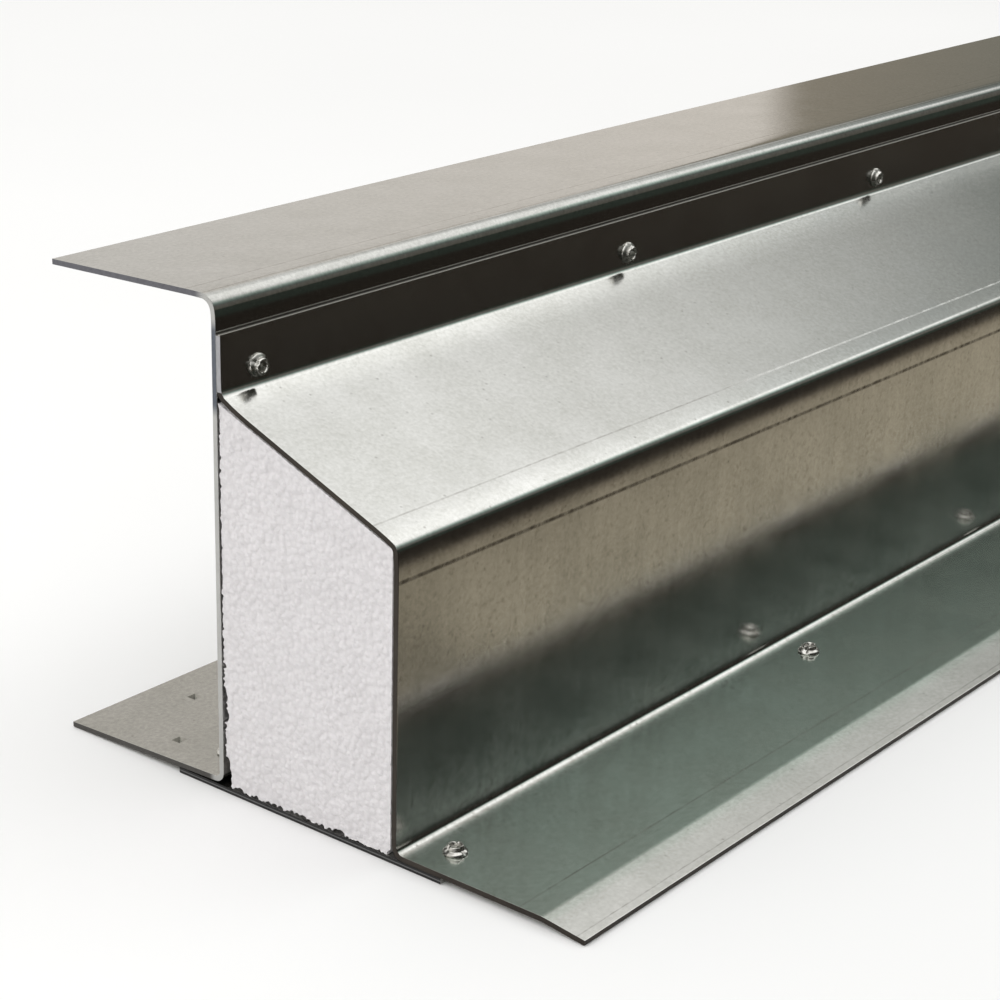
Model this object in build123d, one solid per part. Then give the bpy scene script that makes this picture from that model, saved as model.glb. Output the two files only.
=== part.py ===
from build123d import *
import math
import os

# A cold-formed steel lintel for a cavity wall: a bent channel at the back, a cranked plate at
# the front, a flat strip below, a foam core in the box between them and three rows of rivets.
# Millimetres. X runs along the lintel, +Y to the inner leaf of the wall, +Z up from the floor.
# The section is drawn from the front of the web, at Y = 0, and is centred when it is written.

# Whole lintel
length = 1050.0
height = 219.0              # floor to the corner of web and top flange
cavity = 100.0              # inner side of the web to the front of the face
sheet = 2.5                 # channel and front plate
bend_radius = 2.5           # inside every bend

# Back channel
top_flange_width = 96.5
top_flange_fall = 2.5       # from the web's corner to the free edge
inner_flange_setback = 1.0  # from the top flange's free edge to the inner flange's

# Front plate, along its back
web_reveal = 16.0           # web that shows above the upstand
upstand_height = 28.0
slope_drop = 38.8           # from the upstand to the face
outer_flange_width = 74.5   # face to lip
lip_width = 20.5

# Soffit strip
soffit_sheet = 2.5
soffit_inner_lap = 27.0     # past the front of the web
soffit_outer_lap = 23.5     # past the front of the face
seat_gap = 0.05             # between the strip's inner edge and the flange that lies on it

# Foam core
foam_gap = 0.5              # to the sheets round it

# Plaster keys: holes pierced by a four-sided point, in staggered rows along the inner flange
key_mouth = 5.0             # side of the square at the upper side
key_eye = 1.6               # side of the square at the under side
key_pitch = 75.0
key_end = 16.0              # first key to the end of the lintel
key_rows = (43.5, 72.5)     # from the front of the web

# Rivets
rivet_pitch = 250.0         # the even spacing is the nearest to this
rivet_end = 20.0            # first rivet to the end of the lintel
upstand_wander = (1.0, 4.0, -13.0, 6.0, -2.0)    # set by hand, off the even spacing
outer_wander = (-3.0, 13.0, -19.0, 7.0, -4.0)
inner_wander = (0.0,)
upstand_rivet_drop = 17.0   # from the top of the upstand
outer_rivet_inset = 17.0    # from the front of the face
inner_rivet_inset = 17.0    # from the front of the web
shank_radius = 2.4
hole_clearance = 0.1        # round the shank
head_radius = 4.75
head_height = 1.5
crown_radius = 3.0          # flat top of a domed head
flush_head_depth = 1.4
bulb_radius = 5.2
bulb_rim = 1.0              # height of the bulb's edge
bulb_height = 1.9
collar_radius = 3.7
collar_height = 3.6         # from the sheet
cup_radius = 2.5
cup_depth = 1.3

# Lines that the pieces share
face_back = cavity - 2 * sheet
face_front = face_back + sheet
upstand_top = height - web_reveal
slope_head = upstand_top - upstand_height
slope_foot = slope_head - slope_drop
lip_bend = face_front + outer_flange_width
lip_edge = lip_bend + lip_width
lip_angle = math.atan(soffit_sheet / lip_width)
inner_flange_width = top_flange_width - inner_flange_setback
inner_fall = (soffit_sheet + seat_gap) / (inner_flange_width - soffit_inner_lap)
inner_angle = math.atan(inner_fall)
inner_heel = inner_fall * inner_flange_width
outer_reach = lip_edge + sheet * math.sin(lip_angle)
inner_reach = max(top_flange_width, inner_flange_width + sheet * math.sin(inner_angle))
centre_shift = (outer_reach - inner_reach) / 2
slope_fall = slope_drop / face_back
slope_angle = math.atan(slope_fall)
hole_radius = shank_radius + hole_clearance
outer_radius = bend_radius + sheet


def inner_flange_top(out):
    """Height of the inner flange's upper side at a distance from the front of the web."""
    return inner_heel - inner_fall * out + sheet / math.cos(inner_angle)


def along_x(section):
    """A section drawn in Y and Z, made as long as the lintel."""
    return extrude(Plane.YZ.offset(-length / 2) * section, amount=length)


def bent_sheet(corners, radii, side):
    """A sheet bent along a line of corners in the section, with its thickness on one side."""
    line = FilletPolyline(*corners, radius=radii)
    return along_x(make_face(line.wire().offset_2d(sheet, side=side)))


def row_places(wander):
    """X of each rivet in a row, evenly spaced between the ends and then set off by hand."""
    span = length - 2 * rivet_end
    gaps = max(1, round(span / rivet_pitch))
    step = span / gaps
    return [step * i - span / 2 + wander[i % len(wander)] for i in range(gaps + 1)]


def key_places():
    """X and distance from the web of each plaster key, with the rows staggered."""
    places = []
    for i, out in enumerate(key_rows):
        first = key_end + key_pitch * i / len(key_rows)
        count = int((length - key_end - first) // key_pitch) + 1
        places += [(first + key_pitch * k - length / 2, out) for k in range(count)]
    return places


# Where each row of rivets goes: its plane lies under the heads, with Z along the shanks
upstand_rivet_height = upstand_top - upstand_rivet_drop
upstand_seats = [Plane((x, sheet, upstand_rivet_height), x_dir=(1, 0, 0), z_dir=(0, -1, 0))
                 for x in row_places(upstand_wander)]
outer_seats = [Plane((x, -face_front - outer_rivet_inset, 0)) for x in row_places(outer_wander)]
inner_seats = [Plane((x, inner_rivet_inset, 0)) for x in row_places(inner_wander)]
upstand_grip = 2 * sheet
outer_grip = soffit_sheet + sheet
inner_grip = inner_flange_top(inner_rivet_inset - bulb_radius)


def drill(grip):
    """A hole for a shank, from below the head to past the grip."""
    return Cylinder(hole_radius, 2 * grip)


def countersink():
    """A hole for a flush head, from Z = 0 up."""
    cone = Cone(head_radius + hole_clearance, hole_radius, flush_head_depth)
    return cone.moved(Location((0, 0, flush_head_depth / 2)))


def rivet(grip, head_points):
    """A rivet along Z, with its head at Z = 0 and its bulb and hollow collar above the grip."""
    top = grip + collar_height
    tail_points = [
        (shank_radius, grip),
        (bulb_radius, grip),
        (bulb_radius, grip + bulb_rim),
        (collar_radius, grip + bulb_height),
        (collar_radius, top),
        (cup_radius, top),
        (0, top - cup_depth),
    ]
    profile = make_face(Polyline(*head_points, *tail_points, close=True))
    return revolve(Plane.XZ * profile, axis=Axis.Z)


def domed_rivet(grip):
    """A rivet with a low domed head, which stands on the sheet."""
    return rivet(grip, [(0, -head_height), (crown_radius, -head_height), (head_radius, 0), (shank_radius, 0)])


def flush_rivet(grip):
    """A rivet with a flush head, sunk in the sheet."""
    return rivet(grip, [(0, 0), (head_radius, 0), (shank_radius, flush_head_depth)])


def plaster_key():
    """The four-sided point that pierces a key, wide at the upper side of the sheet."""
    low = (key_mouth - key_eye) / 2
    high = (key_mouth + key_eye) / 2
    return Rot(X=-90) * Wedge(key_mouth, sheet, key_mouth, low, low, high, high)


def back_channel():
    """Top flange, web and inner flange in one sheet, drawn along the web's front."""
    corners = [
        (top_flange_width, height - top_flange_fall),
        (0, height),
        (0, inner_heel),
        (inner_flange_width, 0),
    ]
    part = bent_sheet(corners, [outer_radius, outer_radius], Side.LEFT)
    flange = Plane((0, 0, inner_flange_top(0)), x_dir=(1, 0, 0), z_dir=(0, inner_fall, 1))
    key = Pos(0, 0, -sheet / 2) * plaster_key()
    for x, out in key_places():
        part -= flange * Location((x, out / math.cos(inner_angle), 0)) * key
    for seat in upstand_seats:
        part -= seat * drill(upstand_grip)
    for seat in inner_seats:
        part -= seat * drill(inner_grip)
    return part


def front_plate():
    """Upstand, slope, face, outer flange and drip lip in one sheet, drawn along its back."""
    corners = [
        (0, upstand_top),
        (0, slope_head),
        (-face_back, slope_foot),
        (-face_back, soffit_sheet),
        (-lip_bend, soffit_sheet),
        (-lip_edge, 0),
    ]
    part = bent_sheet(corners, [outer_radius, bend_radius, outer_radius, bend_radius], Side.RIGHT)
    for seat in upstand_seats:
        part -= seat * drill(upstand_grip)
    for seat in outer_seats:
        part -= seat * drill(outer_grip)
    return part


def soffit_strip():
    """The flat strip under both bottom flanges, countersunk below for the rivets."""
    width = soffit_inner_lap + face_front + soffit_outer_lap
    middle = (soffit_inner_lap - face_front - soffit_outer_lap) / 2
    part = Pos(0, middle, soffit_sheet / 2) * Box(length, width, soffit_sheet)
    for seat in outer_seats + inner_seats:
        part -= seat * drill(outer_grip)
        part -= seat * countersink()
    return part


def foam_core():
    """The block that fills the box, with its crest rounded to clear the bend above it."""
    drop = foam_gap / math.cos(slope_angle)
    back = foam_gap
    front = face_back - foam_gap
    corners = [
        (-back, soffit_sheet),
        (-back, slope_head - slope_fall * back - drop),
        (-front, slope_head - slope_fall * front - drop),
        (-front, soffit_sheet),
    ]
    outline = FilletPolyline(*corners, radius=[0, 0, bend_radius, 0], close=True)
    return along_x(make_face(outline))


pieces = {
    "back_channel": back_channel(),
    "front_plate": front_plate(),
    "soffit_strip": soffit_strip(),
    "foam_core": foam_core(),
}
for name, seats, piece in (
    ("upstand_rivet", upstand_seats, domed_rivet(upstand_grip)),
    ("outer_rivet", outer_seats, flush_rivet(outer_grip)),
    ("inner_rivet", inner_seats, flush_rivet(inner_grip)),
):
    for i, seat in enumerate(seats, start=1):
        pieces[f"{name}_{i}"] = seat * piece

os.makedirs("parts", exist_ok=True)
for name, piece in pieces.items():
    export_step(Pos(0, centre_shift, 0) * piece, f"parts/{name}.step")
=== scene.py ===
# %% [markdown]
# A steel lintel for a cavity wall: two bent galvanised sheets and a flat strip round a core of
# bead foam, held by rows of rivets. The CAD model is loaded as a fixed frame in metres, with X
# along the lintel, +Y to the inner leaf of the wall and Z up. Everything below dresses it.

# %% Load the frame
import math
import random

import bmesh
import bpy
from mathutils import Matrix, Vector


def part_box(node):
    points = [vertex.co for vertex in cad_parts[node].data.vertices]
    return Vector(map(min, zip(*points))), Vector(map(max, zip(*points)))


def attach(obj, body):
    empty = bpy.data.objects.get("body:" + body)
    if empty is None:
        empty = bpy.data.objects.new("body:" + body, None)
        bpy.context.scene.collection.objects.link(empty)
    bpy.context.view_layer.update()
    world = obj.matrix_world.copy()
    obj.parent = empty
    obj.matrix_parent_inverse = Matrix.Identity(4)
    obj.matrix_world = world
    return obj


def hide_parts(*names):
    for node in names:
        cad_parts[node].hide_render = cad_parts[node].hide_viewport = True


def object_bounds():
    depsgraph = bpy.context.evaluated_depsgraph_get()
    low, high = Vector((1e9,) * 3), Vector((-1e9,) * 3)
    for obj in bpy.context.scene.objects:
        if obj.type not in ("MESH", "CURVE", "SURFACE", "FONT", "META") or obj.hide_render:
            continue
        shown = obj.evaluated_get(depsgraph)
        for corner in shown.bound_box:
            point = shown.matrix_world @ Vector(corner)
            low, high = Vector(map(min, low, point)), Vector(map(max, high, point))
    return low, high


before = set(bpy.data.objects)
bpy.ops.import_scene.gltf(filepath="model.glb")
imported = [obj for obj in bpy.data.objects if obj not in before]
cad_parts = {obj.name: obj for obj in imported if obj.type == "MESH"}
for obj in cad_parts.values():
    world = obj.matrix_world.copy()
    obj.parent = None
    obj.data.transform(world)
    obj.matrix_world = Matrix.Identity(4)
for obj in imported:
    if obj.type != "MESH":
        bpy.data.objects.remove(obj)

MM = 0.001
cad_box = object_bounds()
print("CAD nodes:", len(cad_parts), "box:", cad_box)

# %% [markdown]
# The camera stands at the near end, a little above the top flange, and looks along the lintel.
# A long lens keeps the lines nearly parallel. The place and the turn were fitted to the long
# edges of the sheets, so no lens shift is needed.

# %% Camera
camera_data = bpy.data.cameras.new("camera")
camera_data.sensor_width = 36.0
camera_data.lens = 85.193
camera = bpy.data.objects.new("camera", camera_data)
camera.location = (-1.16318, -0.60307, 0.46911)
camera.rotation_euler = [math.radians(a) for a in (69.763, -1.356, -51.151)]
bpy.context.scene.collection.objects.link(camera)
bpy.context.scene.camera = camera
print("camera lens:", camera_data.lens)

# %% [markdown]
# Every material here is a small tree of nodes. Adding a node takes the same three steps each
# time, so one helper does them: make it, set its options, and fill its sockets with values or
# with links from other nodes. The other helpers are the few sums that the materials repeat.

# %% Node helpers
def new_node(tree, kind, options=None, **sockets):
    """A node of that kind. A socket is named as in the panel, with _ for a space, or as _0, _1."""
    node = tree.nodes.new(kind)
    for name, value in (options or {}).items():
        setattr(node, name, value)
    for name, value in sockets.items():
        key = int(name[1:]) if name[1:].isdigit() else name.replace("_", " ")
        if isinstance(value, bpy.types.NodeSocket):
            tree.links.new(value, node.inputs[key])
        else:
            node.inputs[key].default_value = value
    return node


def ramp(tree, factor, stops):
    """The colour output of a ramp, with stops of (place, grey or colour)."""
    node = new_node(tree, "ShaderNodeValToRGB", Fac=factor)
    while len(node.color_ramp.elements) < len(stops):
        node.color_ramp.elements.new(1.0)
    for element, (place, colour) in zip(node.color_ramp.elements, stops):
        element.position = place
        rgb = colour if isinstance(colour, tuple) else (colour, colour, colour)
        element.color = (*rgb, 1.0)
    return node.outputs["Color"]


def maths(tree, operation, a, b=0.0, c=0.0):
    """One sum of two or three values, as an output socket."""
    return new_node(tree, "ShaderNodeMath", {"operation": operation}, _0=a, _1=b, _2=c).outputs[0]


def both(tree, a, b):
    """The product of two factors, which is one only where both are."""
    return maths(tree, "MULTIPLY", a, b)


def fade(tree, value, start, end, low=0.0, high=1.0, shape="SMOOTHSTEP"):
    """A value that goes from low to high between start and end, as an output socket."""
    return new_node(tree, "ShaderNodeMapRange", {"interpolation_type": shape}, Value=value,
                    From_Min=start, From_Max=end, To_Min=low, To_Max=high).outputs[0]


def blend_colour(tree, factor, a, b, how="MIX"):
    """Two colours blended by a factor, as an output socket."""
    options = {"data_type": "RGBA", "blend_type": how}
    return new_node(tree, "ShaderNodeMix", options, _0=factor, _6=a, _7=b).outputs[2]


def noise(tree, place, scale, detail=2.0, roughness=0.5):
    """A soft random pattern between 0 and 1, with that many lumps to the metre."""
    return new_node(tree, "ShaderNodeTexNoise", Vector=place, Scale=scale, Detail=detail,
                    Roughness=roughness).outputs["Fac"]


def stretched(tree, place, scale):
    """Coordinates scaled by axis, for a pattern that is longer one way than the other."""
    return new_node(tree, "ShaderNodeMapping", Vector=place, Scale=scale).outputs[0]


def axes(tree, place):
    """The X, Y and Z of some coordinates, as output sockets."""
    return new_node(tree, "ShaderNodeSeparateXYZ", Vector=place).outputs


def new_material(name):
    """An empty material: its tree, its shader and the object's own coordinates."""
    material = bpy.data.materials.new(name)
    material.use_nodes = True
    tree = material.node_tree
    place = new_node(tree, "ShaderNodeTexCoord").outputs["Object"]
    return material, tree, tree.nodes["Principled BSDF"], place


print("node helpers ready")

# %% [markdown]
# Bare metal shows what stands round it, so the surroundings are painted as plainly as a studio:
# a long soft light overhead, grey walls low down, and a darker corner beyond the far end of the
# lintel. The same dome lights the floor, so the shadow is soft. Lamps and cards could do this
# too, but a painted dome has no hard edges and casts no second shadow.

# %% Studio surroundings
world = bpy.data.worlds.new("studio")
bpy.context.scene.world = world
world.use_nodes = True
tree = world.node_tree
tree.nodes.clear()
toward = new_node(tree, "ShaderNodeTexCoord").outputs["Generated"]
east, north, rise = axes(tree, toward)
turn = maths(tree, "SUBTRACT", north, east)
turn = maths(tree, "MULTIPLY_ADD", turn, 0.5 / math.sqrt(2.0), 0.5)
across = maths(tree, "MULTIPLY_ADD", north, 0.5, 0.5)

# The walls, with a low dark one in front of the lintel
walls = ramp(tree, turn, [
    (0.00, (0.13, 0.14, 0.135)), (0.25, (0.15, 0.165, 0.15)), (0.33, (0.19, 0.185, 0.155)),
    (0.388, (0.28, 0.25, 0.20)), (0.394, (0.72, 0.67, 0.61)), (0.52, (0.74, 0.71, 0.67))])
low_front = ramp(tree, rise, [
    (0.00, (0.10, 0.095, 0.08)), (0.12, (0.13, 0.125, 0.108)),
    (0.31, (0.15, 0.147, 0.135)), (0.355, (0.135, 0.14, 0.134))])
walls = blend_colour(tree, fade(tree, north, 0.0, -0.15), walls, low_front)

# The light overhead, with a dimmer ridge towards the far end
overhead = ramp(tree, across, [(0.20, 0.30), (0.29, 0.70), (0.35, 0.95), (0.45, 1.0), (0.54, 1.0),
                               (0.61, 0.76), (1.0, 0.72)])
overhead = blend_colour(tree, 1.0, overhead, (1.36, 1.36, 1.34, 1.0), "MULTIPLY")
ridge = both(tree, fade(tree, north, -0.14, -0.06), fade(tree, north, 0.17, 0.10))
ridge = both(tree, ridge, fade(tree, east, 0.76, 0.87))
overhead = blend_colour(tree, ridge, overhead, (0.60, 0.63, 0.625, 1.0), "MULTIPLY")

# The line where the walls end, which comes lower in front and in the far corner
front_lift = ramp(tree, across, [
    (0.20, 0.105), (0.23, 0.098), (0.30, 0.075), (0.36, 0.100), (0.42, 0.160), (0.46, 0.135),
    (0.485, 0.050), (0.505, 0.0)])
corner_lift = both(tree, fade(tree, turn, 0.43, 0.39, 0.0, 0.11), fade(tree, north, 0.24, 0.34))
corner_lift = both(tree, corner_lift, fade(tree, rise, 0.56, 0.48))
lifted = maths(tree, "ADD", maths(tree, "ADD", rise, front_lift), corner_lift)
wall_top = fade(tree, lifted, 0.435, 0.665, shape="LINEAR")
room = blend_colour(tree, wall_top, walls, overhead)

# A faint green cast on the wall in front of the far end
green_side = both(tree, fade(tree, east, 0.40, 0.55), fade(tree, north, -0.20, -0.35))
green_rise = both(tree, fade(tree, rise, 0.31, 0.35), fade(tree, rise, 0.60, 0.50))
green = both(tree, green_side, green_rise)
room = blend_colour(tree, green, room, (0.84, 1.0, 0.94, 1.0), "MULTIPLY")
background = new_node(tree, "ShaderNodeBackground", Color=room, Strength=1.13)
new_node(tree, "ShaderNodeOutputWorld", Surface=background.outputs[0])
print("studio surroundings painted:", len(tree.nodes), "nodes")

# %% [markdown]
# The floor is one wide pale sheet, like the roll of paper in a studio. It lies a fifth of a
# millimetre below the lintel, so that the two never share a plane, and its matt paint keeps the
# soft shadow.

# %% Floor
floor_width = 80.0
floor_drop = 0.2

bpy.ops.object.select_all(action="DESELECT")
bpy.ops.mesh.primitive_plane_add(size=floor_width, location=(0.0, 0.0, -floor_drop * MM))
floor = bpy.context.object
floor.name = "floor"
bpy.ops.object.transform_apply()
floor_paint, tree, shader, place = new_material("floor_paint")
paint_tone = ramp(tree, noise(tree, place, 1.5),
                  [(0.3, (0.912, 0.912, 0.917)), (0.7, (0.928, 0.928, 0.933))])
tree.links.new(paint_tone, shader.inputs["Base Color"])
shader.inputs["Roughness"].default_value = 0.9
shader.inputs["Specular IOR Level"].default_value = 0.0
floor.data.materials.append(floor_paint)
print("floor:", floor.dimensions[:2])

# %% [markdown]
# A photographer lays a dark cloth in front of polished metal, so that its upright faces don't
# go white. This one lies in front of the lintel, warm grey, and is turned up over a low rail,
# where it is nearly black. Only the metal's reflections see it.

# %% Dark cloth for the reflections
cloth_near = -0.150
cloth_rail = -0.318
rail_height = 0.230
cloth_ends = (-1.2, 3.0)
on_rail = 1e-5

bpy.ops.object.select_all(action="DESELECT")
bpy.ops.mesh.primitive_plane_add(size=1.0)
cloth = bpy.context.object
cloth.name = "dark_cloth"
cloth.scale = (cloth_ends[1] - cloth_ends[0], cloth_near - cloth_rail, 1.0)
cloth.location = (sum(cloth_ends) / 2, (cloth_near + cloth_rail) / 2, 0.0)
bpy.ops.object.transform_apply()
bpy.ops.object.mode_set(mode="EDIT")
mesh = bmesh.from_edit_mesh(cloth.data)
bpy.ops.mesh.select_all(action="DESELECT")
bpy.ops.mesh.select_mode(type="EDGE")
for edge in mesh.edges:
    edge.select = all(abs(v.co.y - cloth_rail) < on_rail for v in edge.verts)
bmesh.update_edit_mesh(cloth.data)
bpy.ops.mesh.extrude_region_move(TRANSFORM_OT_translate={"value": (0.0, 0.0, rail_height)})
bpy.ops.object.mode_set(mode="OBJECT")
cloth.visible_camera = False
cloth.visible_diffuse = False
cloth.visible_shadow = False
print("dark cloth:", len(cloth.data.polygons), "faces")

# %% [markdown]
# The cloth glows by itself, so that no lamp has to light it: its colour is just what the zinc
# shows. It is palest beside the lintel and sinks to black at the rail, and it is a little
# brighter towards the far end, where the metal is seen at a flatter angle.

# %% Dye of the dark cloth
cloth_dye = bpy.data.materials.new("dark_cloth")
cloth_dye.use_nodes = True
tree = cloth_dye.node_tree
tree.nodes.clear()
spot = axes(tree, new_node(tree, "ShaderNodeTexCoord").outputs["Object"])
laid = ramp(tree, fade(tree, spot["Y"], cloth_near, cloth_rail, shape="LINEAR"),
            [(0.0, (0.37, 0.33, 0.25)), (0.55, (0.34, 0.30, 0.225)), (0.75, (0.26, 0.22, 0.165)),
             (0.87, (0.11, 0.093, 0.072)), (1.0, (0.030, 0.025, 0.020))])
off_floor = fade(tree, spot["Z"], 0.0, 0.020)
hung = blend_colour(tree, off_floor, laid, (0.024, 0.020, 0.016, 1.0))
upper_half = fade(tree, spot["Z"], 0.100, 0.140)
hung = blend_colour(tree, upper_half, hung, (0.034, 0.043, 0.035, 1.0))
near_end = fade(tree, spot["X"], -0.37, -0.30, 0.6, 1.0)
strength = both(tree, near_end, fade(tree, spot["X"], -0.4, 0.9, 1.05, 1.45))
glow = new_node(tree, "ShaderNodeEmission", Color=hung, Strength=strength)
new_node(tree, "ShaderNodeOutputMaterial", Surface=glow.outputs[0])
cloth.data.materials.append(cloth_dye)
print("cloth dyed:", cloth_dye.name)

# %% [markdown]
# One broad lamp stands behind the near end. It lifts the sawn foam, which the dome alone leaves
# grey. Bare metal shows a lamp as a white patch, so this one is kept out of the reflections.

# %% Key light on the near end
key_data = bpy.data.lights.new("key", "AREA")
key_data.size = 1.6
key_data.energy = 9.0
key = bpy.data.objects.new("key", key_data)
key.location = (-1.7, 0.8, 1.7)
key.visible_glossy = False
key_aim = Vector((-0.4, 0.0, 0.1))
key.rotation_euler = (key_aim - key.location).to_track_quat("-Z", "Y").to_euler()
bpy.context.scene.collection.objects.link(key)
print("key light:", key_data.energy, "W")

# %% [markdown]
# The press that bends a sheet leaves a thin dark line beside each bend, where the die's shoulder
# rubbed the zinc. A drawn line would be too even, so each one is worked out from the distance to
# a place in Y or Z. It drifts a little along X, and a noise breaks it up.

# %% Lines that the die rubs
line_fade = 90.0
line_wobble = 0.25
line_core = 0.2


def rubbed_line(tree, spot, broken, axis, value, drift, width, strength,
                first=-700.0, last=700.0, lowest=-1.0):
    """How strong a rubbed line is at a point. It lies at one Y or Z, drifts and breaks up."""
    wander = maths(tree, "MULTIPLY_ADD", spot["X"], drift, value * MM)
    wander = maths(tree, "MULTIPLY_ADD", broken, line_wobble * MM, wander)
    off = maths(tree, "ABSOLUTE", maths(tree, "SUBTRACT", spot[axis], wander))
    line = both(tree, fade(tree, off, width * MM, line_core * width * MM), broken)
    reach = both(tree, fade(tree, spot["X"], first * MM, (first + line_fade) * MM),
                 fade(tree, spot["X"], last * MM, (last - line_fade) * MM))
    above = both(tree, maths(tree, "GREATER_THAN", spot["Z"], lowest * MM), strength)
    return both(tree, both(tree, line, reach), above)


def rubbed_lines(tree, spot, place, lines):
    """The strongest of several rubbed lines at a point."""
    broken = noise(tree, stretched(tree, place, (150.0, 40.0, 40.0)), 1.0, 4.0, 0.7)
    broken = fade(tree, broken, 0.30, 0.68, 0.28, 1.0)
    mark = rubbed_line(tree, spot, broken, *lines[0])
    for line in lines[1:]:
        mark = maths(tree, "MAXIMUM", mark, rubbed_line(tree, spot, broken, *line))
    return mark


print("rubbed lines fade out over", line_fade, "mm")

# %% [markdown]
# Hot-dip galvanised sheet is bright but never even: the zinc has a soft mottle a few
# centimetres across, a fine grain, dark specks and short streaks across the sheet. One function
# paints them all, and its options say which sheet is stained, dulled or cut. The stained sheet
# also gets a painted reflection: a faint green tint on the top of its flange. Two faint bumps, one
# as wide as a hand and one as fine as the grain, keep the reflections from being a mirror's.

# %% Galvanised steel
soiled_least = 0.2
streak_share = 0.16
zone_edge = 4.0
flange_skin = (4.2, 4.8)
flange_green_reflection = (0.95, 1.0, 0.975, 1.0)
stain_brown = (0.28, 0.26, 0.22, 1.0)
speck_dark = (0.16, 0.15, 0.13, 1.0)
dull_tint = (0.80, 0.79, 0.76, 1.0)
rubbed_dark = (0.11, 0.09, 0.07, 1.0)
rubbed_light = (0.92, 0.92, 0.90, 1.0)
end_depth = 0.1


def galvanised(name, pale, dark, roughness, dark_lines=(), light_lines=(), stain_and_reflection=None,
               dull_below=-1.0, cut_ends=False):
    """Zinc-coated sheet with its mottle, grain, stains, streaks, specks and die lines."""
    material, tree, shader, place = new_material(name)
    spot = axes(tree, place)
    mottle = noise(tree, place, 32.0, 4.0, 0.55)
    grain = noise(tree, place, 520.0, 3.0, 0.6)
    stain = noise(tree, place, 300.0, 5.0, 0.7)
    streak = noise(tree, stretched(tree, place, (190.0, 9.0, 9.0)), 1.0, 3.0)
    tone = ramp(tree, mottle, [(0.32, dark), (0.68, pale)])
    grain_tone = ramp(tree, grain, [(0.32, 0.30), (0.68, 0.74)])
    tone = blend_colour(tree, 0.26, tone, grain_tone, "OVERLAY")
    soiled, streaked = soiled_least, soiled_least * streak_share
    if stain_and_reflection:
        outermost, topmost = stain_and_reflection
        beyond = outermost - zone_edge
        soiled = both(tree, fade(tree, spot["Y"], beyond * MM, outermost * MM),
                      fade(tree, spot["Z"], (topmost + zone_edge) * MM, topmost * MM))
        soiled = maths(tree, "MULTIPLY_ADD", soiled, 1.0 - soiled_least, soiled_least)
        streaked = both(tree, soiled, streak_share)
        # Painted reflection: the top of the flange in front of the face gets a faint green tint.
        green_reflection_zone = both(tree, fade(tree, spot["Y"], outermost * MM, beyond * MM),
                     fade(tree, spot["Z"], flange_skin[0] * MM, flange_skin[1] * MM))
        tone = blend_colour(tree, green_reflection_zone, tone, flange_green_reflection, "MULTIPLY")
    streak_tone = ramp(tree, streak, [(0.35, 0.34), (0.65, 0.66)])
    tone = blend_colour(tree, streaked, tone, streak_tone, "OVERLAY")
    stains = both(tree, fade(tree, stain, 0.50, 0.30, 0.0, 0.40), soiled)
    tone = blend_colour(tree, stains, tone, stain_brown)
    cells = new_node(tree, "ShaderNodeTexVoronoi", Vector=place, Scale=210.0).outputs
    chosen = new_node(tree, "ShaderNodeSeparateColor", Color=cells["Color"]).outputs[0]
    speck = both(tree, fade(tree, cells["Distance"], 0.20, 0.06), fade(tree, chosen, 0.62, 0.98))
    tone = blend_colour(tree, both(tree, speck, 0.40), tone, speck_dark)
    rough = fade(tree, mottle, 0.3, 0.7, roughness + 0.03, roughness - 0.02)
    rough = maths(tree, "MULTIPLY_ADD", grain, 0.04, rough)
    # Below that height the zinc is made darker and rougher, towards the floor.
    if dull_below > 0.0:
        dull = fade(tree, spot["Z"], (dull_below + zone_edge) * MM, dull_below * MM)
        tone = blend_colour(tree, dull, tone, dull_tint, "MULTIPLY")
        rough = maths(tree, "MULTIPLY_ADD", dull, 0.10, rough)
    for lines, colour in ((dark_lines, rubbed_dark), (light_lines, rubbed_light)):
        if lines:
            mark = rubbed_lines(tree, spot, place, lines)
            tone = blend_colour(tree, mark, tone, colour)
            rough = maths(tree, "MULTIPLY_ADD", mark, 0.2, rough)
    # The cut ends are made dark, with a lighter band halfway up.
    if cut_ends:
        end = maths(tree, "ABSOLUTE", spot["X"])
        end = maths(tree, "GREATER_THAN", end, cad_box[1][0] - end_depth * MM)
        height = maths(tree, "MULTIPLY", spot["Z"], 100.0)
        end_bands = ramp(tree, height, [(0.10, 0.05), (0.13, 0.28), (0.16, 0.05)])
        tone = blend_colour(tree, end, tone, end_bands)
        rough = maths(tree, "MULTIPLY_ADD", end, 0.3, rough)
    tree.links.new(tone, shader.inputs["Base Color"])
    tree.links.new(rough, shader.inputs["Roughness"])
    shader.inputs["Metallic"].default_value = 1.0
    wave = noise(tree, stretched(tree, place, (9.0, 5.0, 5.0)), 1.0, 1.0)
    waved = new_node(tree, "ShaderNodeBump", Height=wave, Strength=0.06, Distance=4.0 * MM)
    grainy = new_node(tree, "ShaderNodeBump", Height=grain, Strength=0.03, Distance=0.25 * MM,
                      Normal=waved.outputs[0])
    tree.links.new(grainy.outputs[0], shader.inputs["Normal"])
    return material


print("zinc is soiled by at least", soiled_least)
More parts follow.
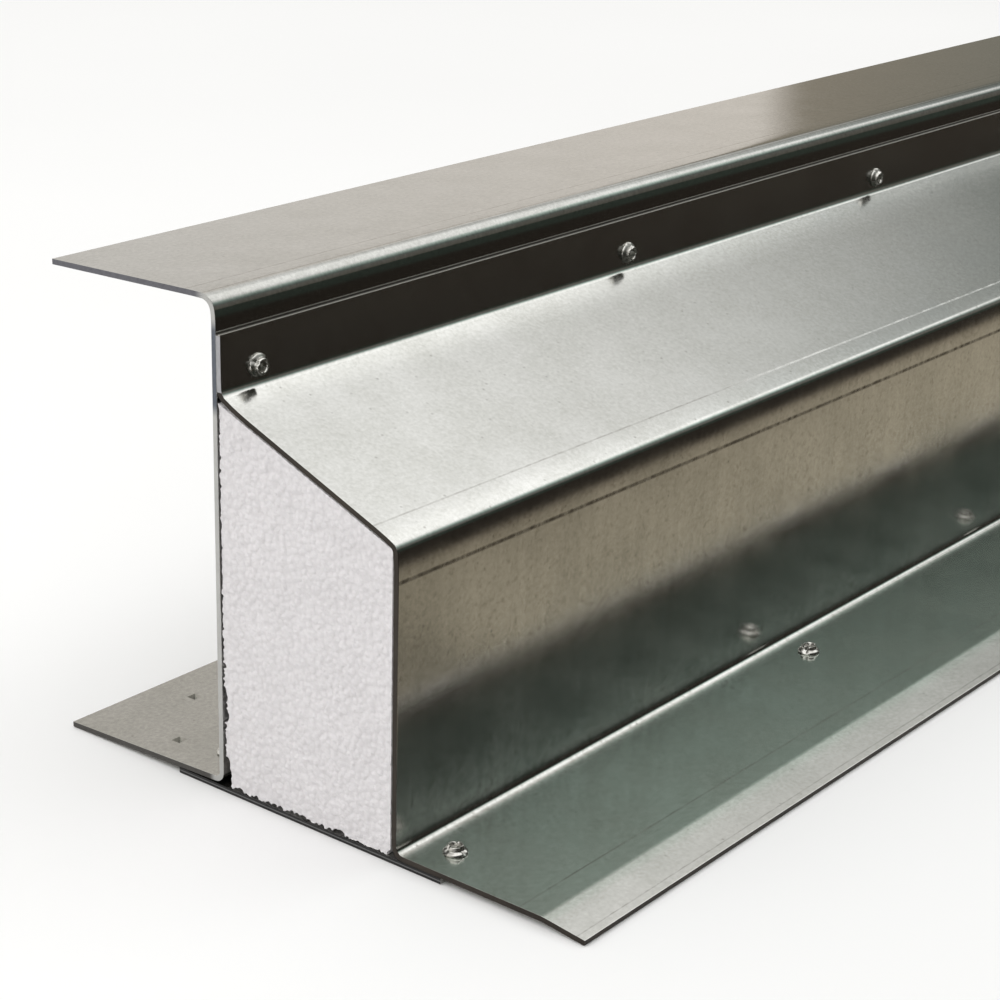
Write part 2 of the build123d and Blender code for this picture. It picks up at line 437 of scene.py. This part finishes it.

# %% [markdown]
# Each sheet has a zinc of its own. The front plate is the brightest, with a stained face, a long
# scratch on its slope and a painted reflection, a faint green tint on its flange. The channel
# behind it is smoother and darker, and dull near the floor. The strip below is the roughest. It
# keeps its CAD mesh, so the bare steel of its cut ends is part of its material.

# %% Zinc of each sheet
# A line: axis, place, drift along X, half width, strength, and then first X, last X, lowest Z
front_lines = [("Y", -38.6, -0.004, 0.60, 0.40, -700.0, -190.0),
               ("Z", 120.3, -0.0037, 1.30, 0.92),
               ("Y", -114.4, -0.003, 0.60, 0.55),
               ("Y", -142.0, -0.002, 0.50, 0.35)]
front_scratches = [("Y", -38.6, -0.004, 0.80, 0.85, -310.0, 700.0)]
back_lines = [("Y", 65.6, 0.002, 0.70, 0.45, -700.0, 700.0, 200.0),
              ("Y", 55.4, 0.0, 0.50, 0.40, -700.0, 700.0, 200.0)]
front_zinc = galvanised("front_zinc", (0.625, 0.625, 0.605), (0.565, 0.565, 0.54), 0.125,
                        front_lines, front_scratches, stain_and_reflection=(-55.0, 131.0))
back_zinc = galvanised("back_zinc", (0.49, 0.49, 0.475), (0.44, 0.44, 0.42), 0.08,
                       back_lines, dull_below=20.0)
strip_zinc = galvanised("strip_zinc", (0.54, 0.54, 0.52), (0.46, 0.46, 0.44), 0.20,
                        cut_ends=True)
print("galvanised materials:", front_zinc.name, back_zinc.name, strip_zinc.name)

# %% [markdown]
# Where a sheet was sheared, the zinc is gone and the steel is dull. The tones of a cut edge are
# painted: each patch of it is a box in Y and Z with a colour of its own, over the same fine torn
# grain. The top edge of the upstand faces up and is painted light, as a reflection of the light
# overhead, and the other patches are lighter or darker than the steel round them.

# %% Sheared edges
patch_cover = 0.9


def inside(tree, value, low, high, edge):
    """One between two values in millimetres, fading to nought past them over an edge."""
    return both(tree, fade(tree, value, (low - edge) * MM, low * MM),
                fade(tree, value, (high + edge) * MM, high * MM))


def sheared(name, pale, dark, patches):
    """Bare cut steel, finely torn, with patches of ((Y from, to), (Z from, to), edge, colour)."""
    material, tree, shader, place = new_material(name)
    torn = noise(tree, place, 900.0, 3.0, 0.65)
    cloud = noise(tree, place, 60.0, 2.0)
    stops = [(0.3, dark), (0.7, pale)]
    tone = blend_colour(tree, 0.5, ramp(tree, cloud, stops), ramp(tree, torn, stops))
    spot = axes(tree, place)
    for across, up, edge, colour in patches:
        patch = both(tree, inside(tree, spot["Y"], *across, edge),
                     inside(tree, spot["Z"], *up, edge))
        tone = blend_colour(tree, both(tree, patch, patch_cover), tone, (*colour, 1.0))
    tree.links.new(tone, shader.inputs["Base Color"])
    tree.links.new(fade(tree, torn, 0.3, 0.7, 0.40, 0.62), shader.inputs["Roughness"])
    shader.inputs["Metallic"].default_value = 1.0
    ragged = new_node(tree, "ShaderNodeBump", Height=torn, Strength=0.35, Distance=0.3 * MM)
    tree.links.new(ragged.outputs[0], shader.inputs["Normal"])
    return material


# The front of the upstand's top edge, a painted reflection of the light overhead, and its end
upstand_cuts = [((40.0, 46.8), (202.7, 210.0), 0.3, (0.50, 0.48, 0.45)),
                ((40.0, 50.0), (179.0, 202.3), 0.3, (0.46, 0.46, 0.48))]
# The top flange, the web beside the upstand, and the inner flange
channel_cuts = [((60.0, 150.0), (205.0, 225.0), 6.0, (0.125, 0.125, 0.145)),
                ((40.0, 52.0), (174.0, 203.0), 7.0, (0.10, 0.115, 0.145)),
                ((57.0, 150.0), (-5.0, 9.0), 4.0, (0.060, 0.055, 0.050))]
front_cut = sheared("front_cut", (0.075, 0.065, 0.055), (0.038, 0.033, 0.029), upstand_cuts)
back_cut = sheared("back_cut", (0.60, 0.60, 0.58), (0.44, 0.44, 0.43), channel_cuts)
print("sheared materials:", front_cut.name, back_cut.name)

# %% [markdown]
# A press brake doesn't bend a sheet in a clean arc: the sheet curves gently from where the die
# touches it, and turns sharply only under the punch. That gentle run is what gives a real bend
# its wide bright band. So each section is worked out here as a line of points, with a slow run
# into and out of a tight nose, and the sheet is then extruded from point to point.

# %% Points of one bend
run_steps = 4
nose_steps = 10


def bend_points(before, corner, after, radius, run_in, run_in_turn, run_out, run_out_turn):
    """The points of one bend at a corner. The runs are lengths, and their turns are in degrees."""
    along = (corner - before).normalized()
    leaving = (after - corner).normalized()
    across = Vector((-along.y, along.x))
    side = math.copysign(1.0, leaving.dot(across))
    total = math.acos(along.dot(leaving))
    first, last = math.radians(run_in_turn), math.radians(run_out_turn)
    turns = [0.0]
    lengths = []
    for i in range(1, run_steps + 1):
        turns.append(first * (i / run_steps) ** 2)
        lengths.append(run_in / run_steps)
    for i in range(1, nose_steps + 1):
        turns.append(first + (total - first - last) * i / nose_steps)
        lengths.append(radius * (total - first - last) / nose_steps)
    for i in range(1, run_steps + 1):
        turns.append(total - last * (1 - i / run_steps) ** 2)
        lengths.append(run_out / run_steps)
    path = [Vector((0.0, 0.0))]
    for length, a, b in zip(lengths, turns, turns[1:]):
        heading = (a + b) / 2
        path.append(path[-1] + length * Vector((math.cos(heading), math.sin(heading))))
    back_off = path[-1].x - path[-1].y / math.tan(total)
    start = corner - along * back_off
    return [start + along * p.x + across * (side * p.y) for p in path]


print("points in a bend:", 2 * run_steps + nose_steps + 1)

# %% [markdown]
# The corners of both sheets are the CAD model's own, in millimetres, drawn along the side of the
# sheet that the CAD section follows. Each bend gets the nose radius, the run in and its turn, and
# the run out and its turn.

# %% Section of each sheet
low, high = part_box("back_channel")
half_length = high.x / MM
sheet = 2.5
box_depth = 95.0
web_front = 48.151
face_back = web_front - box_depth
upstand_top, slope_top, slope_foot = 203.0, 175.0, 136.2
strip_top = 2.5
lip_fold, lip_edge = -123.849, -144.349
top_edge, top_edge_height, top_corner = 144.651, 216.5, 219.0
heel_height, inner_edge = 3.553, 143.651
upstand_bend = (6.5, 6.0, 5.0, 20.0, 8.0)
crest_bend = (3.0, 13.0, 6.0, 11.0, 7.2)
face_bend = (6.0, 5.0, 2.0, 3.0, 2.0)
lip_bend = (14.0, 1.0, 0.2, 1.0, 0.2)
top_bend = (7.5, 9.0, 3.0, 7.0, 10.0)
heel_bend = (5.0, 3.0, 2.0, 3.0, 2.0)


def section_points(corners, bends):
    """A sheet's section in Y and Z, in millimetres, with a bend at each inner corner."""
    corners = [Vector(c) for c in corners]
    points = [corners[0]]
    for i, bend in enumerate(bends, start=1):
        points += bend_points(corners[i - 1], corners[i], corners[i + 1], *bend)
    return points + [corners[-1]]


front_section = section_points(
    [(web_front, upstand_top), (web_front, slope_top), (face_back, slope_foot),
     (face_back, strip_top), (lip_fold, strip_top), (lip_edge, 0.0)],
    [upstand_bend, crest_bend, face_bend, lip_bend])
back_section = section_points(
    [(top_edge, top_edge_height), (web_front, top_corner), (web_front, heel_height),
     (inner_edge, 0.0)],
    [top_bend, heel_bend])
print("section points:", len(front_section), len(back_section))

# %% [markdown]
# Real sheet starts flat and is bent line by line. Here a narrow plane is laid along the first
# stretch of the section, and its free edge is extruded from point to point. Solidify then gives
# the steel its thickness, with the cut rim in a material of its own, and a small bevel takes the
# sharpness off the sheared edges.

# %% Extrude the sheets
same_place = 1e-7
cut_bevel = 0.25
cut_angle = 60.0


def only_select(*pieces):
    """Object mode, with just these pieces selected and the first one active."""
    if bpy.context.object and bpy.context.object.mode != "OBJECT":
        bpy.ops.object.mode_set(mode="OBJECT")
    bpy.ops.object.select_all(action="DESELECT")
    for piece in pieces:
        piece.select_set(True)
    bpy.context.view_layer.objects.active = pieces[0]


def apply_modifier(piece, kind, **settings):
    """Adds a modifier with these settings and applies it at once."""
    only_select(piece)
    modifier = piece.modifiers.new(kind.lower(), kind)
    for name, value in settings.items():
        setattr(modifier, name, value)
    bpy.ops.object.modifier_apply(modifier=modifier.name)


def extruded_sheet(name, points, visible_side):
    """A sheet along X, from a narrow plane that is pulled on from point to point of a section."""
    bpy.ops.object.select_all(action="DESELECT")
    bpy.ops.mesh.primitive_plane_add(size=1.0)
    piece = bpy.context.object
    piece.name = name
    (y0, z0), (y1, z1) = points[0], points[1]
    for vertex in piece.data.vertices:
        end = math.copysign(half_length, vertex.co.x)
        vertex.co = Vector((end, y0, z0) if vertex.co.y < 0 else (end, y1, z1)) * MM
    bpy.ops.object.mode_set(mode="EDIT")
    bpy.ops.mesh.select_mode(type="EDGE")
    bpy.ops.mesh.select_all(action="DESELECT")
    mesh = bmesh.from_edit_mesh(piece.data)
    free = Vector((y1, z1)) * MM
    for edge in mesh.edges:
        edge.select = all((v.co.yz - free).length < same_place for v in edge.verts)
    bmesh.update_edit_mesh(piece.data)
    for a, b in zip(points[1:], points[2:]):
        pull = (0.0, (b.x - a.x) * MM, (b.y - a.y) * MM)
        bpy.ops.mesh.extrude_region_move(TRANSFORM_OT_translate={"value": pull})
    bpy.ops.mesh.select_all(action="SELECT")
    bpy.ops.mesh.normals_make_consistent(inside=False)
    bpy.ops.object.mode_set(mode="OBJECT")
    if piece.data.polygons[0].normal.dot(Vector(visible_side)) < 0:
        piece.data.flip_normals()
    return piece


front_sheet = extruded_sheet("front_plate_sheet", front_section, (0.0, -1.0, 0.0))
back_sheet = extruded_sheet("back_channel_sheet", back_section, (0.0, 0.0, -1.0))
for piece, zinc, cut in ((front_sheet, front_zinc, front_cut), (back_sheet, back_zinc, back_cut)):
    piece.data.materials.append(zinc)
    piece.data.materials.append(cut)
    apply_modifier(piece, "SOLIDIFY", thickness=sheet * MM, offset=1.0, use_even_offset=True,
                   material_offset_rim=1)
    apply_modifier(piece, "BEVEL", width=cut_bevel * MM, segments=2, limit_method="ANGLE",
                   angle_limit=math.radians(cut_angle), harden_normals=False)
    size = [round(d / MM, 2) for d in piece.dimensions]
    print(piece.name, "size:", size, "faces:", len(piece.data.polygons))

# %% [markdown]
# The inner flange is pierced by a square point, so that plaster keys into it. One punch is
# modelled as a four-sided cone, copied in two staggered rows, and cut from the flange. The cone
# runs on past both sides of the sheet, so that the cut is clean.

# %% Pierce the plaster keys
key_mouth = 5.0
key_eye = 1.6
key_pitch = 75.0
key_end = 16.0
key_rows = ((key_end, 91.651), (key_end + key_pitch / 2, 120.651))
flange_width = 95.5
flange_fall = heel_height / flange_width
overrun = 1.0
grow = (key_mouth - key_eye) / 2 * overrun / sheet


def flange_top(y):
    """Height of the inner flange's upper side, in millimetres."""
    return heel_height - flange_fall * (y - web_front) + sheet


punches = []
for first, y in key_rows:
    count = int((2 * half_length - key_end - first) // key_pitch) + 1
    for k in range(count):
        x = first + key_pitch * k - half_length
        bpy.ops.object.select_all(action="DESELECT")
        bpy.ops.mesh.primitive_cone_add(
            vertices=4, radius1=(key_eye / 2 - grow) * math.sqrt(2) * MM,
            radius2=(key_mouth / 2 + grow) * math.sqrt(2) * MM, depth=(sheet + 2 * overrun) * MM,
            location=(x * MM, y * MM, (flange_top(y) - sheet / 2) * MM),
            rotation=(-math.atan(flange_fall), 0.0, math.radians(45.0)))
        punches.append(bpy.context.object)
only_select(*punches)
bpy.ops.object.join()
punch = bpy.context.object
bpy.ops.object.transform_apply()
apply_modifier(back_sheet, "BOOLEAN", object=punch, operation="DIFFERENCE", solver="EXACT")
bpy.data.objects.remove(punch)
print("plaster keys:", len(punches), "faces after piercing:", len(back_sheet.data.polygons))

# %% [markdown]
# Smooth shading stops at 14 degrees: the steps of a bend run together, but the flats beside it
# stay flat, so that their reflections stay straight. Each sheet then takes the place of its
# plain CAD node. The strip below is flat already and needs only its zinc.

# %% Finish the sheets
bend_smooth = 14.0
for piece, node in ((front_sheet, "front_plate"), (back_sheet, "back_channel")):
    only_select(piece)
    bpy.ops.object.shade_smooth_by_angle(angle=math.radians(bend_smooth))
    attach(piece, "root")
    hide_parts(node)
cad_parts["soffit_strip"].data.materials.clear()
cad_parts["soffit_strip"].data.materials.append(strip_zinc)
print("sheets stand for front_plate and back_channel")

# %% [markdown]
# The core is expanded-bead foam, sawn to length. The block is a grid cut to the outline of the
# box and extruded along X. A plain block would do for its shape, but the grid is as fine as the
# beads, so the next steps can give its sawn ends their relief. Its crest is bisected twice, to
# clear the bend.

# %% Foam block
low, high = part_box("foam_core")
slope_drop = 38.8
slope_fall = slope_drop / box_depth
grid_step = 0.85
crest_inset = 0.35
rows = int((high.z - low.z) / MM / grid_step)
columns = int((high.y - low.y) / MM / grid_step)
bpy.ops.object.select_all(action="DESELECT")
bpy.ops.mesh.primitive_grid_add(x_subdivisions=rows, y_subdivisions=columns, size=1.0,
                                rotation=(0.0, math.radians(-90.0), 0.0))
foam = bpy.context.object
foam.name = "bead_foam_core"
foam.scale = (high.z - low.z, high.y - low.y, 1.0)
foam.location = (low.x, (low.y + high.y) / 2, (low.z + high.z) / 2)
bpy.ops.object.transform_apply()
bpy.ops.object.mode_set(mode="EDIT")
slope_angle = math.atan(slope_fall)
slope_normal = (0.0, -math.sin(slope_angle), math.cos(slope_angle))
crest = Vector((0.0, low.y, high.z - slope_fall * (high.y - low.y)))
bpy.ops.mesh.select_all(action="SELECT")
bpy.ops.mesh.bisect(plane_co=(0.0, high.y, high.z), plane_no=slope_normal, clear_outer=True)
for degrees in (44.0, 66.0):
    lean = math.radians(degrees)
    normal = Vector((0.0, -math.sin(lean), math.cos(lean)))
    bpy.ops.mesh.select_all(action="SELECT")
    bpy.ops.mesh.bisect(plane_co=crest - normal * crest_inset * MM, plane_no=normal,
                        clear_outer=True)
bpy.ops.mesh.select_all(action="SELECT")
bpy.ops.mesh.extrude_region_move(TRANSFORM_OT_translate={"value": (high.x - low.x, 0.0, 0.0)})
bpy.ops.mesh.select_all(action="SELECT")
bpy.ops.mesh.normals_make_consistent(inside=False)
bpy.ops.object.mode_set(mode="OBJECT")
size = [round(d / MM, 1) for d in foam.dimensions]
print("foam block:", len(foam.data.polygons), "faces,", size)

# %% [markdown]
# The saw leaves each bead a little higher or lower than the next. A Voronoi texture of the size
# of a bead moves the vertices of the grid inwards, by a millimetre at most, so that the block
# never grows longer than the sheets round it.

# %% Relief of the beads on the sawn ends
bead_size = 2.8
relief = 1.0

sawn = foam.vertex_groups.new(name="sawn")
sawn.add([v.index for v in foam.data.vertices], 1.0, "REPLACE")
beads = bpy.data.textures.new("beads", "VORONOI")
beads.noise_scale = bead_size * MM
beads.noise_intensity = 1.0
apply_modifier(foam, "DISPLACE", texture=beads, texture_coords="LOCAL", direction="NORMAL",
               vertex_group="sawn", strength=-relief * MM, mid_level=0.0)
print("relief depth:", relief, "mm, size:", [round(d / MM, 2) for d in foam.dimensions])

# %% [markdown]
# Foam breaks between its beads, so an edge that was knocked loses whole lumps. Each lump is a
# small ball, stretched along X. They are joined and cut from the block by one Boolean. The
# lowest corner beside the web has lost the most.

# %% Torn beads along the edges
torn_from, torn_to = 16.0, 168.0
loose_below = 60.0
loose_behind = 25.0

random.seed(11)
torn = []


def tear(x, y, z, across, deep):
    """One lump of torn-out beads, longer along X than it is wide."""
    bpy.ops.object.select_all(action="DESELECT")
    bpy.ops.mesh.primitive_ico_sphere_add(subdivisions=2, radius=1.0,
                                          location=(x * MM, y * MM, z * MM))
    lump = bpy.context.object
    wide, tall = [across * random.uniform(0.8, 1.25) * MM for _ in range(2)]
    lump.scale = (deep * MM, wide, tall)
    roll = random.uniform(0.0, 6.28)
    lump.rotation_euler = (roll, random.uniform(-0.2, 0.2), random.uniform(-0.2, 0.2))
    torn.append(lump)


foam_back, foam_front, foam_foot = high.y / MM, low.y / MM, low.z / MM
for end in (-half_length, half_length):
    for z in (5.0, 9.0, 13.0):
        tear(end, foam_back + 0.6, z, 4.6, 40.0)
    tear(end, foam_back - 0.2, 36.5, 3.2, 30.0)
    tear(end, foam_back + 0.3, 40.5, 2.4, 24.0)
    z = torn_from
    while z < torn_to:
        loose = z < loose_below
        size = random.uniform(0.9, 2.1) if loose else random.uniform(0.6, 1.2)
        tear(end, foam_back + 0.25, z, size, random.uniform(9.0, 20.0))
        z += random.uniform(1.8, 3.6) if loose else random.uniform(3.0, 8.0)
    y = foam_back - 3.0
    while y > foam_front + 2.0:
        loose = y > foam_front + loose_behind
        size = random.uniform(0.9, 2.5) if loose else random.uniform(0.6, 1.3)
        tear(end, y, foam_foot - 0.15, size, random.uniform(8.0, 18.0))
        y -= random.uniform(1.8, 4.6)
    tear(end, foam_front + 0.5, foam_foot + 1.0, 1.8, 20.0)
    for z in (6.0, 20.0, 47.0, 71.0, 102.0, 120.0):
        z += random.uniform(-4.0, 4.0)
        tear(end, foam_front - 0.3, z, random.uniform(0.6, 1.1), 5.0)
only_select(*torn)
bpy.ops.object.join()
lumps = bpy.context.object
bpy.ops.object.transform_apply()
apply_modifier(foam, "BOOLEAN", object=lumps, operation="DIFFERENCE", solver="EXACT",
               use_self=True)
bpy.data.objects.remove(lumps)
print("torn places:", len(torn), "foam faces:", len(foam.data.polygons))

# %% [markdown]
# White bead foam is matt and very slightly lilac. Shade is painted into the colour: it darkens in
# the seams between beads and in the smallest pits, the hollows of the bumps, and a bump adds the
# roughness that is finer than the grid.

# %% Foam finish
foam_smooth = 40.0
bead_white, tree, shader, place = new_material("bead_foam")
bead = new_node(tree, "ShaderNodeTexVoronoi", {"feature": "SMOOTH_F1"}, Vector=place, Scale=400.0,
                Smoothness=0.35).outputs["Distance"]
crumb = noise(tree, place, 900.0, 3.0, 0.6)
cloud = noise(tree, place, 60.0, 3.0)
tone = ramp(tree, cloud, [(0.3, (0.755, 0.736, 0.752)), (0.7, (0.795, 0.775, 0.792))])
# Painted shade: darker in the seams between beads and in the pits, where the bumps are lowest.
seam_shade = fade(tree, bead, 0.40, 0.80, 0.0, 0.25)
tone = blend_colour(tree, seam_shade, tone, (0.56, 0.54, 0.55, 1.0))
pit_shade = fade(tree, crumb, 0.42, 0.25, 0.0, 0.32)
tone = blend_colour(tree, pit_shade, tone, (0.50, 0.48, 0.48, 1.0))
tree.links.new(tone, shader.inputs["Base Color"])
shader.inputs["Roughness"].default_value = 0.85
shader.inputs["Specular IOR Level"].default_value = 0.25
beaded = new_node(tree, "ShaderNodeBump", {"invert": True}, Height=bead, Strength=0.7,
                  Distance=1.2 * MM)
crumbs = new_node(tree, "ShaderNodeBump", Height=crumb, Strength=0.6, Distance=0.7 * MM,
                  Normal=beaded.outputs[0])
tree.links.new(crumbs.outputs[0], shader.inputs["Normal"])
foam.data.materials.append(bead_white)
only_select(foam)
bpy.ops.object.shade_smooth_by_angle(angle=math.radians(foam_smooth))
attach(foam, "root")
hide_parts("foam_core")
print("foam finished:", foam.name)

# %% [markdown]
# The rivets are plated steel. The tool that set them has scuffed the plating, so the colour, the
# gloss and a fine bump all follow one worn pattern.

# %% Rivet finish
rivet_steel, tree, shader, place = new_material("rivet_steel")
worn = noise(tree, place, 420.0, 3.0, 0.6)
plating = ramp(tree, worn, [(0.32, (0.46, 0.45, 0.42)), (0.66, (0.70, 0.69, 0.66))])
tree.links.new(plating, shader.inputs["Base Color"])
tree.links.new(fade(tree, worn, 0.3, 0.7, 0.34, 0.20), shader.inputs["Roughness"])
shader.inputs["Metallic"].default_value = 1.0
scuffed = new_node(tree, "ShaderNodeBump", Height=worn, Strength=0.25, Distance=0.3 * MM)
tree.links.new(scuffed.outputs[0], shader.inputs["Normal"])
print("rivet finish:", rivet_steel.name)

# %% [markdown]
# Each rivet was set from the far side: its tail is a folded ring round a short collar, and the
# pulled pin has broken off inside, at a slant. It is made like a turned part, from one round cap
# that is extruded and scaled again and again. Three folds are then pressed into the ring.

# %% Turn a rivet
rivet_sides = 36
pin_slant = 22.0
fold_spacing = 120.0
fold_radius, fold_height = 2.3, 0.4
fold_sink = 0.97
collar_top = 3.6
tail = [(2.4, 0.0), (4.9, 0.0), (5.2, 0.35), (5.15, 0.9), (4.7, 1.35), (4.0, 1.6), (3.7, 1.9),
        (3.65, 3.0), (3.3, collar_top), (2.7, collar_top), (2.3, 3.1), (2.1, 2.0), (1.45, 2.0),
        (1.4, 2.9)]


def turned(name, profile):
    """A round piece along Z from (radius, height) steps in millimetres, pulled out of one cap."""
    bpy.ops.object.select_all(action="DESELECT")
    bpy.ops.mesh.primitive_circle_add(vertices=rivet_sides, radius=profile[0][0] * MM,
                                      fill_type="NGON", location=(0.0, 0.0, profile[0][1] * MM))
    piece = bpy.context.object
    piece.name = name
    bpy.ops.object.transform_apply()
    bpy.ops.object.mode_set(mode="EDIT")
    bpy.ops.mesh.select_mode(type="FACE")
    bpy.ops.mesh.select_all(action="SELECT")
    for (r0, z0), (r1, z1) in zip(profile, profile[1:]):
        pull = (0.0, 0.0, (z1 - z0) * MM)
        bpy.ops.mesh.extrude_region_move(TRANSFORM_OT_translate={"value": pull})
        bpy.ops.transform.resize(value=(r1 / r0, r1 / r0, 1.0), center_override=(0.0, 0.0, z1 * MM))
    bpy.ops.transform.rotate(value=math.radians(pin_slant), orient_axis="X",
                             center_override=(0.0, 0.0, profile[-1][1] * MM))
    bpy.ops.mesh.select_all(action="SELECT")
    bpy.ops.mesh.normals_make_consistent(inside=False)
    bpy.ops.object.mode_set(mode="OBJECT")
    return piece


def press_folds(piece):
    """Three folds in the ring and the collar, pressed in towards the middle."""
    only_select(piece)
    bpy.ops.object.mode_set(mode="EDIT")
    bpy.ops.mesh.select_mode(type="VERT")
    mesh = bmesh.from_edit_mesh(piece.data)
    for depth, spread in ((0.90, 16.0), (0.84, 6.0)):
        bpy.ops.mesh.select_all(action="DESELECT")
        for vertex in mesh.verts:
            angle = math.degrees(math.atan2(vertex.co.y, vertex.co.x)) % fold_spacing
            outside = vertex.co.xy.length > fold_radius * MM and vertex.co.z > fold_height * MM
            vertex.select = outside and abs(angle - fold_spacing / 2) < spread
        bmesh.update_edit_mesh(piece.data)
        bpy.ops.transform.resize(value=(depth, depth, fold_sink), center_override=(0.0, 0.0, 0.0))
    bpy.ops.object.mode_set(mode="OBJECT")


print("steps in a rivet's tail:", len(tail))

# %% [markdown]
# Two kinds of rivet hold the lintel: one with a low domed head, through the upstand and the web,
# and one with a flush head, through the flanges and the strip. Only the profile of the head
# differs, so one function makes both. A fine bevel lets the folded edges catch the light.

# %% Domed and flush rivets
grip = 2 * sheet
rivet_bevel = 0.12
rivet_edge = 50.0
rivet_smooth = 40.0
domed_head = [(1.6, -1.5), (3.2, -1.4), (4.3, -0.9), (4.75, -0.3), (4.7, 0.0), (2.4, 0.0)]
flush_head = [(4.2, 0.0), (4.7, 0.05), (2.4, 1.4)]


def rivet_model(name, head):
    """A rivet with its head below, its shank through the sheets and its tail on Z = 0."""
    piece = turned(name, [(r, z - grip) for r, z in head] + tail)
    press_folds(piece)
    apply_modifier(piece, "BEVEL", width=rivet_bevel * MM, segments=2, limit_method="ANGLE",
                   angle_limit=math.radians(rivet_edge))
    only_select(piece)
    bpy.ops.object.shade_smooth_by_angle(angle=math.radians(rivet_smooth))
    piece.data.materials.append(rivet_steel)
    return piece


domed = rivet_model("domed_rivet", domed_head)
flush = rivet_model("flush_rivet", flush_head)
print("rivet faces:", len(domed.data.polygons), len(flush.data.polygons))

# %% [markdown]
# Rivets are set one at a time, so no two folded tails face the same way. Each copy is turned by
# a random angle round its own pin, with a fixed seed, and takes its place from the box of the
# CAD rivet that it stands for.

# %% Set the rivets
random.seed(5)
stand_out = Matrix.Rotation(math.radians(90.0), 4, "X")
for name in sorted(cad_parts):
    if "rivet" not in name:
        continue
    low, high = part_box(name)
    middle = (low + high) / 2
    spin = Matrix.Rotation(random.uniform(0.0, 2.0 * math.pi), 4, "Z")
    if name.startswith("upstand"):
        model = domed
        place = Matrix.Translation((middle.x, low.y + collar_top * MM, middle.z)) @ stand_out
    else:
        model = flush
        place = Matrix.Translation((middle.x, middle.y, high.z - collar_top * MM))
    rivet = model.copy()
    rivet.data = model.data.copy()
    rivet.name = name + "_set"
    rivet.data.transform(place @ spin)
    bpy.context.scene.collection.objects.link(rivet)
    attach(rivet, "root")
    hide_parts(name)
for model in (domed, flush):
    bpy.data.objects.remove(model)
print("rivets set:", sum("rivet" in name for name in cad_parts))

# %% [markdown]
# The visual model must keep the size of the CAD model. The picture is shown with the Standard
# view, which leaves colours as they are.

bpy.context.scene.view_settings.view_transform = "Standard"
